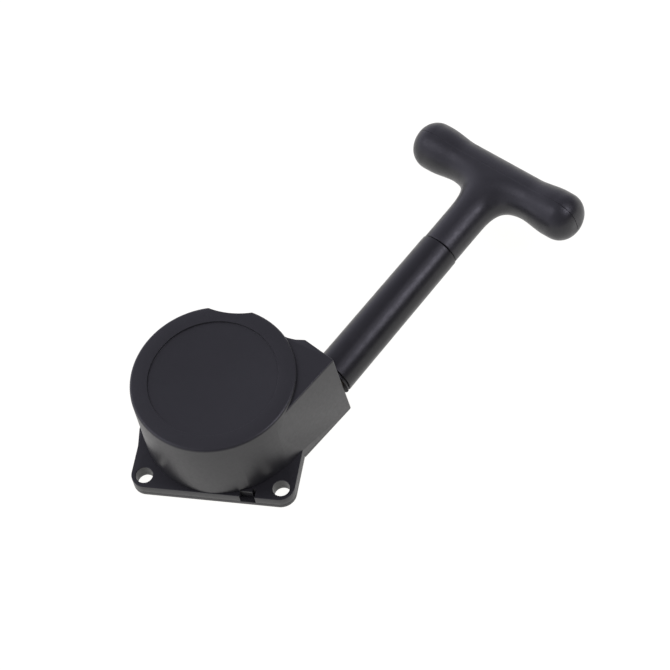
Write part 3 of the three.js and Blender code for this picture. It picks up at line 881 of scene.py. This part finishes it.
def makeTGrip(s):
    body = makeGrip(s)
    # the stem's end face and socket are cut after smoothing so that they stay crisp
    low, start, wide, r = s["start"] - 5, s["start"], 9, s["socket"]
    cut(body, turned("end face", [
        (0, low), (wide, low), (wide, start + s["endEdge"]), (s["stem"] + 0.1, start + s["endEdge"]),
        (s["stem"] - s["endBevel"], start), (0, start)], 96))
    cut(body, turned("socket", [
        (0, start - 3), (r + 0.2, start - 3), (r + 0.2, start), (r, start + 0.3),
        (r, s["socketEnd"], 0.4), (0, s["socketEnd"])], 64))
    partingLine(body, s)
    place(body, ropeFrame @ Matrix.Rotation(-s["tilt"], 4, "Z"))
    return finishPiece(body, "t_handle", "handle", ["t_grip"], gripPlastic, 50)


# parts that hold the pulley, all on its axis
bolt = dict(head=2.2, headLow=8.7, headHigh=9.75, shank=1.0, tip=15.1, recess=1.3, slot=0.42, recessTop=9.3,
            taperLong=0.55, taperThin=0.7)
washer = dict(inner=1.2, outer=3.6, low=9.8, high=10.3)
disc = dict(inner=6.75, outer=14.0, low=9.62, high=9.8)


def flatRing(name, s, edge, segments=96):
    return turned(name, [(s["inner"], s["low"], edge), (s["outer"], s["low"], edge),
                         (s["outer"], s["high"], edge), (s["inner"], s["high"], edge)], segments, 3)


def makeRing(name, s, nodes, edge=0.06):
    return finishPiece(flatRing(name, s, edge), name, "case", nodes, turnedSteel)


def makeRecessWing(s, turn):
    # one bar of the screw's cross recess, which tapers as it goes in
    def rectangle(long, thin, z):
        return [(-long, -thin, z), (long, -thin, z), (long, thin, z), (-long, thin, z)]

    long, thin = s["recess"], s["slot"] / 2
    wing = stacked("wing", [rectangle(long, thin, s["headLow"] - 0.7),
                            rectangle(long * s["taperLong"], thin * s["taperThin"], s["recessTop"])])
    return place(wing, Matrix.Rotation(turn, 4, "Z"))


def makeBolt(s):
    body = turned("bolt", [
        (0, s["headLow"]), (s["head"] - 0.6, s["headLow"], 0.3), (s["head"], s["headLow"] + 0.45, 0.2),
        (s["head"], s["headHigh"], 0.08), (s["shank"], s["headHigh"]), (s["shank"], s["tip"] - 0.5),
        (s["shank"] - 0.5, s["tip"]), (0, s["tip"])], 64)
    cut(body, makeRecessWing(s, 0), makeRecessWing(s, pi / 2))
    return finishPiece(body, "pulley_bolt", "case", ["retaining_screw"], turnedSteel, 30)


def makeBush(s):
    bush = turned("bush", [
        (s["bore"], -s["length"], 0.3), (s["body"], -s["length"], 0.15), (s["body"], -s["seat"]),
        (s["flange"], -s["seat"], 0.12), (s["flange"], s["face"], 0.25), (s["bore"] + 0.05, s["face"], 0.5),
        (s["bore"], s["face"] - 0.75)], 96)
    place(bush, ropeFrame)
    return finishPiece(bush, "rope_eyelet", "case", ["rope_bush"], eyeletBrass, 40)


# recoil spring
spring = dict(turns=7, inner=6.95, outer=13.1, anchor=math.radians(200), thickness=0.35, low=10.35, high=16.9,
              innerHook=-1.05, outerHook=1.6, stepsPerTurn=72)


def makeSpring(s):
    seed = meshObject("spring", [(0, 0, 0)], [])
    runTree(seed, makeStripTree(), {
        "Turns": float(s["turns"]), "Inner Radius": s["inner"], "Outer Radius": s["outer"],
        "Start Angle": s["anchor"] + 2 * pi * s["turns"], "Steps": s["turns"] * s["stepsPerTurn"] + 3,
        "Thickness": s["thickness"], "Width": s["high"] - s["low"], "Inner Hook": s["innerHook"],
        "Outer Hook": s["outerHook"], "Material": bluedSteel})
    place(seed, Matrix.Translation((0, 0, (s["low"] + s["high"]) / 2)))
    return finishPiece(seed, "rewind_spring", "case", ["recoil_spring"], bluedSteel, 40)


# pulley and the rope wound on it
sheave = dict(flange=13.85, foot=1.9, top=9.5, grooveFoot=3.2, grooveTop=8.25, root=8.2,
              arbor=6.4, arborTop=17.2, bore=2.65, pocket=5.05, pocketTop=10.45, slot=1.0, slotDepth=0.9,
              sinks=8, sinkRadius=0.9, sinkPlace=6.65, sinkDepth=0.8, firstSink=0.2,
              ropeHole=1.15, ropeHoleFrom=5.6, ropeHoleHeight=5.7, ropeHoleAngle=math.radians(40))


def makeSinks(s, ringTree):
    # a ring of round hollows in the foot of the pulley
    r, foot, end = s["sinkRadius"], s["foot"], s["foot"] + s["sinkDepth"]
    sink = turned("sink", [(0, foot - 1), (r + 0.1, foot - 1), (r + 0.1, foot), (r, foot + 0.1),
                           (r, end, 0.2), (0, end)], 32)
    place(sink, Matrix.Translation((s["sinkPlace"], 0, 0)))
    return runTree(sink, ringTree, {
        "Count": s["sinks"], "First Angle": s["firstSink"], "Material": pulleyNylon})


def makeRopeHole(s):
    # drilled outwards through the groove's root
    hole = rod(s["ropeHole"], 0, 7, 32)
    start = Matrix.Translation((s["ropeHoleFrom"], 0, s["ropeHoleHeight"]))
    return place(hole, Matrix.Rotation(s["ropeHoleAngle"], 4, "Z") @ start @ Matrix.Rotation(pi / 2, 4, "Y"))


def makeSpringSlot(s):
    half = s["slot"] / 2
    slot = block(s["arbor"] - s["slotDepth"], s["arbor"] + 1, -half, half, s["top"] + 0.01, s["arborTop"] + 1)
    return place(slot, Matrix.Rotation(spring["anchor"], 4, "Z"))


def makeSheave(s, ringTree):
    rim = s["flange"]
    body = turned("sheave", [
        (s["pocket"], s["foot"], 0.15), (s["root"], s["foot"], 0.2), (rim - 0.4, s["grooveFoot"] - 1.0, 0.3),
        (rim, s["grooveFoot"] - 0.6, 0.12), (rim, s["grooveFoot"] - 0.2, 0.12),
        (s["root"], s["grooveFoot"], 0.4), (s["root"], s["grooveTop"], 0.4), (rim, s["grooveTop"] + 0.2, 0.2),
        (rim, s["top"], 0.2), (s["arbor"], s["top"], 0.2), (s["arbor"], s["arborTop"], 0.3),
        (s["bore"], s["arborTop"], 0.25), (s["bore"], s["pocketTop"], 0.15),
        (s["pocket"], s["pocketTop"], 0.3)], 160)
    cut(body, makeSpringSlot(s), makeSinks(s, ringTree), makeRopeHole(s))
    return finishPiece(body, "rope_pulley", "pulley_unit", ["pulley"], pulleyNylon)


cord = dict(radius=1.0, strands=12, lay=10.0, strand=0.27, strandSides=5, weave=0.1, swell=0.02,
            coreSwell=0.12, coreSides=10, stepsPerLay=24, sharpAngle=60)
winding = dict(layerRadii=(9.3, 10.95, 12.6), heights=(4.45, 6.85), leave=5.73, stepsPerTurn=60,
               climb=0.25, crossing=0.5)


def braid(path, name, tree, s, scale=1.0):
    thing = meshObject(name, path, [], [(k, k + 1) for k in range(len(path) - 1)])
    return runTree(thing, tree, {
        "Strands": s["strands"], "Lay Length": s["lay"] * scale,
        "Braid Radius": (s["radius"] - s["strand"] - s["weave"]) * scale + s["swell"],
        "Strand Radius": s["strand"] * scale, "Strand Sides": s["strandSides"], "Weave": s["weave"] * scale,
        "Core Radius": (s["radius"] - 2 * s["strand"] - s["weave"]) * scale + s["coreSwell"],
        "Core Sides": s["coreSides"], "Steps Per Lay": s["stepsPerLay"], "Material": nylonCord})


def finishCord(thing, name, body, nodes):
    return finishPiece(thing, name, body, nodes, nylonCord, cord["sharpAngle"])


def smooth(share):
    share = min(max(share, 0), 1)
    return share * share * (3 - 2 * share)


def windingPath(s):
    # six turns: two in each layer, and out at the place where the rope leaves for the outlet
    radii = s["layerRadii"]
    turns = 2 * len(radii)
    low, high = s["heights"]
    leaveAngle = math.atan2(acrossAxis.y, acrossAxis.x)
    path = []
    for k in range(turns * s["stepsPerTurn"] + 1):
        spin = k / s["stepsPerTurn"]
        layer = min(int(spin / 2), len(radii) - 1)
        within = spin - 2 * layer
        radius = radii[layer]
        if layer and within < s["climb"]:
            # climbs from the layer below
            radius = radii[layer - 1] + (radius - radii[layer - 1]) * smooth(within / s["climb"])
        # crosses from the layer's first turn to its second
        crossed = min(max((within - 1) / s["crossing"] + 0.5, 0), 1)
        swing = 0.5 - 0.5 * math.cos(pi * crossed)
        height = low + (high - low) * (swing if layer % 2 == 0 else 1 - swing)
        height += (s["leave"] - height) * smooth((spin - turns) / s["crossing"] + 1)
        # the pulley unwinds counter-clockwise, so the rope lies on it clockwise towards its free end
        angle = leaveAngle - (turns - spin) * 2 * pi
        path.append((radius * math.cos(angle), radius * math.sin(angle), height))
    return path


def makeWinding(s, tree):
    thing = braid(windingPath(s), "winding", tree, cord)
    return finishCord(thing, "wound_rope", "pulley_unit", ["rope_coil"])


# the rope between winding and handle: drawn at full pull, then pressed together to its rest length
line = dict(leave=-17.36, tail=42.4, stretchStart=0.0, stretchEnd=34.0, spare=5, samples=4001)
knot = dict(centre=43.9, size=0.36, scale=0.95, steps=120, share=0.93, start=0.22)
knotWasher = dict(inner=1.15, outer=2.75, low=41.0, high=41.6)


def restPlace(s, travel):
    # where a point of the fully pulled rope lies at rest
    span = s["stretchEnd"] - s["stretchStart"]
    rest = np.linspace(s["leave"] - s["spare"], s["tail"] + s["spare"], s["samples"])
    share = np.clip((rest - s["stretchStart"]) / span, 0, 1)
    full = rest + pull["range_m"][1] / mm * share * share * (3 - 2 * share)
    return np.interp(travel, full, rest)


def makeRopeLine(s, tree):
    fullEnd = s["tail"] + pull["range_m"][1] / mm
    thing = braid([(0, 0, s["leave"]), (0, 0, fullEnd)], "rope line", tree, cord)
    spots = np.empty(len(thing.data.vertices) * 3)
    thing.data.vertices.foreach_get("co", spots)
    spots = spots.reshape(-1, 3)
    spots[:, 2] = restPlace(s, spots[:, 2])
    thing.data.vertices.foreach_set("co", spots.ravel())
    place(thing, ropeFrame)
    finishCord(thing, "pull_cord", None, ["pull_rope"])
    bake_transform(thing)
    return thing


def makeKnot(s, tree):
    # a pulled-tight overhand knot, which is an open trefoil
    size = s["size"]
    path = []
    for k in range(s["steps"] + 1):
        t = 2 * pi * k / s["steps"] * s["share"] + s["start"]
        path.append((size * (math.sin(t) + 2 * math.sin(2 * t)), size * (math.cos(t) - 2 * math.cos(2 * t)),
                     s["centre"] - size * 1.5 * math.sin(3 * t)))
    thing = place(braid(path, "knot", tree, cord, s["scale"]), ropeFrame)
    return finishCord(thing, "stop_knot", "rope_line", ["rope_knot"])


def makeKnotWasher(s):
    ring = place(flatRing("knot washer", s, 0.08, 72), ropeFrame)
    return finishPiece(ring, "stop_washer", "rope_line", ["knot_washer"], turnedSteel)


# one-way clutch
clutch = dict(foot=2.0, top=8.5, outer=4.95, lip=3.65, lipHeight=0.5, lipEdge=0.15,
              rampLow=4.6, rampHigh=4.8, rampShare=0.97, stepsPerRamp=16,
              count=6, roller=0.75, orbit=3.8, rollerInset=1.15,
              cageInner=3.12, cageOuter=4.35, cageInset=0.6, windowInset=1.05, windowPlay=0.32,
              leafLength=0.7, leafBow=0.06, leafThickness=0.06, leafGap=0.1, leafInset=1.4, leafSteps=12)


def ringOfSix(thing, ringTree, material):
    return runTree(thing, ringTree, {
        "Count": clutch["count"], "First Angle": pi / clutch["count"], "Material": material})


def rampLoop(s, z):
    # the bore widens along each sixth and steps back
    points = []
    for ramp in range(s["count"]):
        for k in range(s["stepsPerRamp"]):
            share = k / (s["stepsPerRamp"] - 1)
            angle = (ramp + share * s["rampShare"]) * 2 * pi / s["count"]
            radius = s["rampLow"] + (s["rampHigh"] - s["rampLow"]) * share
            points.append((radius * math.cos(angle), radius * math.sin(angle), z))
    return points


def makeClutchCup(s):
    foot, top, lip, edge = s["foot"], s["top"], s["lip"], s["lipEdge"]
    cup = turned("cup", [(0, foot), (s["outer"], foot, 0.2), (s["outer"], top, 0.2), (0, top)], 128)
    ramps = stacked("ramps", [rampLoop(s, foot + s["lipHeight"]), rampLoop(s, top - s["lipHeight"])])
    mouth = turned("mouth", [
        (0, foot - 1), (lip + edge, foot - 1), (lip + edge, foot), (lip, foot + edge), (lip, top - edge),
        (lip + edge, top), (lip + edge, top + 1), (0, top + 1)], 96)
    cut(cup, ramps, mouth)
    return finishPiece(cup, "clutch_shell", "pulley_unit", ["clutch_cup"], turnedSteel)


def makeClutchCage(s, ringTree):
    low, high = s["foot"] + s["cageInset"], s["top"] - s["cageInset"]
    cage = flatRing("cage", dict(inner=s["cageInner"], outer=s["cageOuter"], low=low, high=high), 0.08)
    half = s["roller"] + s["windowPlay"]
    window = block(s["cageInner"] - 0.5, s["cageOuter"] + 0.5, -half, half,
                   s["foot"] + s["windowInset"], s["top"] - s["windowInset"])
    cut(cage, ringOfSix(window, ringTree, cageNylon))
    return finishPiece(cage, "roller_cage", "pulley_unit", ["clutch_cage"], cageNylon)


def makeRollers(s, ringTree):
    low, high = s["foot"] + s["rollerInset"], s["top"] - s["rollerInset"]
    roller = turned("roller", [(0, low), (s["roller"], low, 0.1), (s["roller"], high, 0.1), (0, high)], 32, 4)
    place(roller, Matrix.Translation((s["orbit"], 0, 0)))
    ringOfSix(roller, ringTree, turnedSteel)
    names = [f"clutch_roller_{i + 1}" for i in range(s["count"])]
    return finishPiece(roller, "needle_rollers", "pulley_unit", names, turnedSteel)


def makeLeaves(s, ringTree):
    # a thin leaf with a shallow bow that pushes the roller along its ramp
    inner = []
    for k in range(s["leafSteps"] + 1):
        share = k / s["leafSteps"]
        inner.append((s["orbit"] + s["leafLength"] * (share - 0.5),
                      s["roller"] + s["leafGap"] + s["leafBow"] * math.sin(pi * share)))
    outline = inner + [(x, y + s["leafThickness"]) for x, y in reversed(inner)]
    leaf = stacked("leaf", [[(x, y, z) for x, y in outline]
                            for z in (s["foot"] + s["leafInset"], s["top"] - s["leafInset"])])
    ringOfSix(leaf, ringTree, bluedSteel)
    names = [f"clutch_leaf_{i + 1}" for i in range(s["count"])]
    return finishPiece(leaf, "roller_leaves", "pulley_unit", names, bluedSteel)


makeHousing()
print("housing ready")
makePlate(flange, plate, hooks)
makeRing("pulley_washer", washer, ["retaining_washer"])
makeRing("spring_disc", disc, ["spring_plate"], 0.03)
makeBolt(bolt)
makeBush(eyelet)
makeSpring(spring)
print("cover plate, bolt, eyelet and spring ready")
aroundAxis = makeRingTree()
braided = makeCordTree()
makeSheave(sheave, aroundAxis)
makeWinding(winding, braided)
makeClutchCup(clutch)
makeClutchCage(clutch, aroundAxis)
makeRollers(clutch, aroundAxis)
makeLeaves(clutch, aroundAxis)
print("pulley and clutch ready")
makeRopeLine(line, braided)
makeKnot(knot, braided)
makeKnotWasher(knotWasher)
makeTube(tube)
makeTGrip(grip)
print("rope and handle ready")
